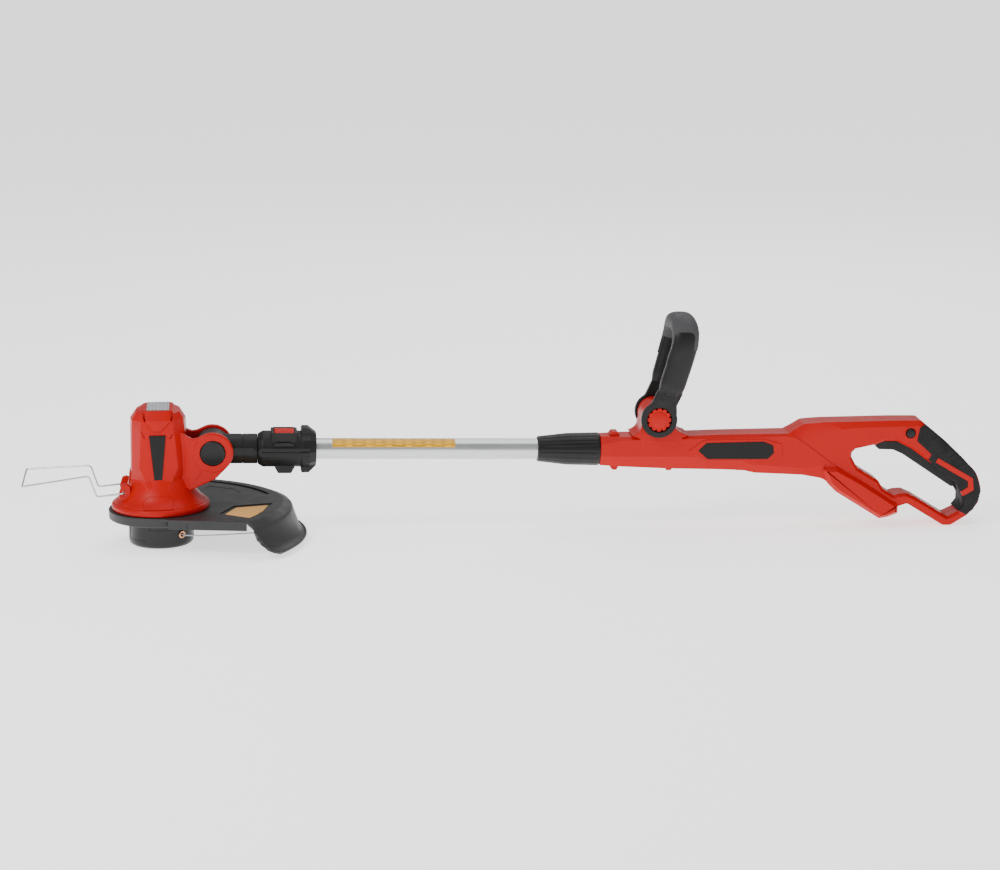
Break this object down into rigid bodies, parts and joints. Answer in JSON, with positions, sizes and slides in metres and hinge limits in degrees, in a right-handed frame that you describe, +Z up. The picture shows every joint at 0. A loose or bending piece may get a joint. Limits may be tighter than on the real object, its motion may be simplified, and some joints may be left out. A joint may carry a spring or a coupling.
{
  "type": "string trimmer",
  "caption": "Cordless string trimmer with a tilting motor head, guard, wire plant guard, telescopic pole, adjustable front handle and a rear grip with trigger.",
  "frame": {"origin": "centre of the spool cap's flat underside, on the ground", "axes": "+Z up along the spool's axis, +X along the ground from the spool towards the rear handle, +Y to the side the guard reaches further"},
  "size_m": [1.1094, 0.2732, 0.2561],
  "materials": {
    "casing": "satin red moulded plastic",
    "black": "satin black moulded plastic",
    "guard": "matt dark grey moulded plastic",
    "rubber": "soft ribbed overmould",
    "soft_grip": "soft grey grip",
    "steel": "plain steel",
    "tube": "satin drawn tube",
    "copper": "copper-coloured metal",
    "nylon": "clear nylon line",
    "label": "printed film",
    "grey_plastic": "moulded plastic"
  },
  "bodies": {
    "head": {"head_shell_near": "casing", "head_shell_far": "casing", "motor_can": "steel", "motor_mount": "black", "guard": "guard", "line_cutter": "steel", "cutter_post": "guard", "guard_screw_1": "steel", "guard_screw_2": "steel", "head_screw_1": "steel", "head_screw_2": "steel", "head_badge": "black", "rating_plate": "label", "tilt_cap": "black", "tilt_axle": "steel", "tilt_spring": "steel"},
    "spool": {"motor_rotor": "steel", "motor_shaft": "steel", "cooling_fan": "black", "spool_carrier": "black", "line_spool": "grey_plastic", "wound_line": "nylon", "spool_cap": "black", "line_eyelet": "copper", "cutting_line": "nylon", "spool_spring": "steel"},
    "cap_latch": {"cap_latch": "black"},
    "wire_guard": {"wire_guard": "steel"},
    "neck": {"tilt_neck": "black"},
    "tilt_button": {"tilt_button": "black"},
    "pole": {"collar_near": "black", "collar_far": "black", "rotate_spring": "steel", "pole_tube": "tube", "tube_bush": "black", "power_cable": "black"},
    "rotate_button": {"rotate_button": "casing"},
    "handle": {"handle_shell_near": "casing", "handle_shell_far": "casing", "grip_cover_near": "rubber", "grip_cover_far": "rubber", "badge_near": "black", "badge_far": "black", "clamp_sleeve": "grey_plastic", "trigger_switch": "black", "trigger_spring": "steel", "terminal_block": "black", "battery_contact_1": "copper", "battery_contact_2": "copper", "handle_button_spring": "steel", "coiled_cable": "black", "handle_screw_1": "steel", "handle_screw_2": "steel"},
    "lock_nut": {"lock_nut": "black"},
    "front_handle": {"front_handle": "black", "front_grip": "soft_grip"},
    "handle_button_near": {"handle_button_near": "casing"},
    "handle_button_far": {"handle_button_far": "casing"},
    "trigger": {"trigger": "black"},
    "lock_off_button": {"lock_off_button": "black"}
  },
  "joints": [
    {"name": "spool_spin", "type": "hinge", "parent": "head", "child": "spool", "pos_m": [0, 0, 0], "axis": [0, 0, 1], "continuous": true},
    {"name": "cap_latch_press", "type": "slide", "parent": "spool", "child": "cap_latch", "axis": [0, 1, 0], "range_m": [0, 0.0012], "stiffness_N_per_m": 800},
    {"name": "wire_guard_swing", "type": "hinge", "parent": "head", "child": "wire_guard", "pos_m": [-0.041, 0, 0.064], "axis": [0, 1, 0], "range_deg": [-15, 60]},
    {"name": "head_tilt", "type": "hinge", "parent": "head", "child": "neck", "pos_m": [0.0604, 0, 0.1084], "axis": [0, -1, 0], "range_deg": [0, 60]},
    {"name": "tilt_button_press", "type": "slide", "parent": "head", "child": "tilt_button", "axis": [0, 1, 0], "range_m": [0, 0.003], "stiffness_N_per_m": 1500, "deforming": ["tilt_spring"]},
    {"name": "pole_rotate", "type": "hinge", "parent": "neck", "child": "pole", "pos_m": [0.0604, 0, 0.1084], "axis": [0.9997, 0, -0.0239], "range_deg": [-90, 90]},
    {"name": "rotate_button_press", "type": "slide", "parent": "pole", "child": "rotate_button", "axis": [-0.0239, 0, -0.9997], "range_m": [0, 0.0025], "stiffness_N_per_m": 1500, "deforming": ["rotate_spring"]},
    {"name": "telescope", "type": "slide", "parent": "pole", "child": "handle", "axis": [0.9997, 0, -0.0239], "range_m": [-0.09, 0.12], "deforming": ["coiled_cable"]},
    {"name": "lock_nut_turn", "type": "hinge", "parent": "handle", "child": "lock_nut", "pos_m": [0.48028, 0, 0.09834], "axis": [0.9997, 0, -0.0239], "range_deg": [0, 90]},
    {"name": "front_handle_tilt", "type": "hinge", "parent": "handle", "child": "front_handle", "pos_m": [0.57111, 0, 0.13608], "axis": [0, 1, 0], "range_deg": [-60, 60]},
    {"name": "handle_button_near_press", "type": "slide", "parent": "handle", "child": "handle_button_near", "axis": [0, 1, 0], "range_m": [0, 0.004], "stiffness_N_per_m": 1200, "deforming": ["handle_button_spring"]},
    {"name": "handle_button_far_press", "type": "slide", "parent": "handle", "child": "handle_button_far", "axis": [0, -1, 0], "range_m": [0, 0.004], "stiffness_N_per_m": 1200, "deforming": ["handle_button_spring"]},
    {"name": "trigger_pull", "type": "hinge", "parent": "handle", "child": "trigger", "pos_m": [0.92518, 0, 0.04718], "axis": [0, 1, 0], "range_deg": [0, 5], "stiffness_Nm_per_rad": 0.6, "deforming": ["trigger_spring"]},
    {"name": "lock_off_press", "type": "slide", "parent": "handle", "child": "lock_off_button", "axis": [0, 1, 0], "range_m": [0, 0.004], "stiffness_N_per_m": 1200}
  ]
}
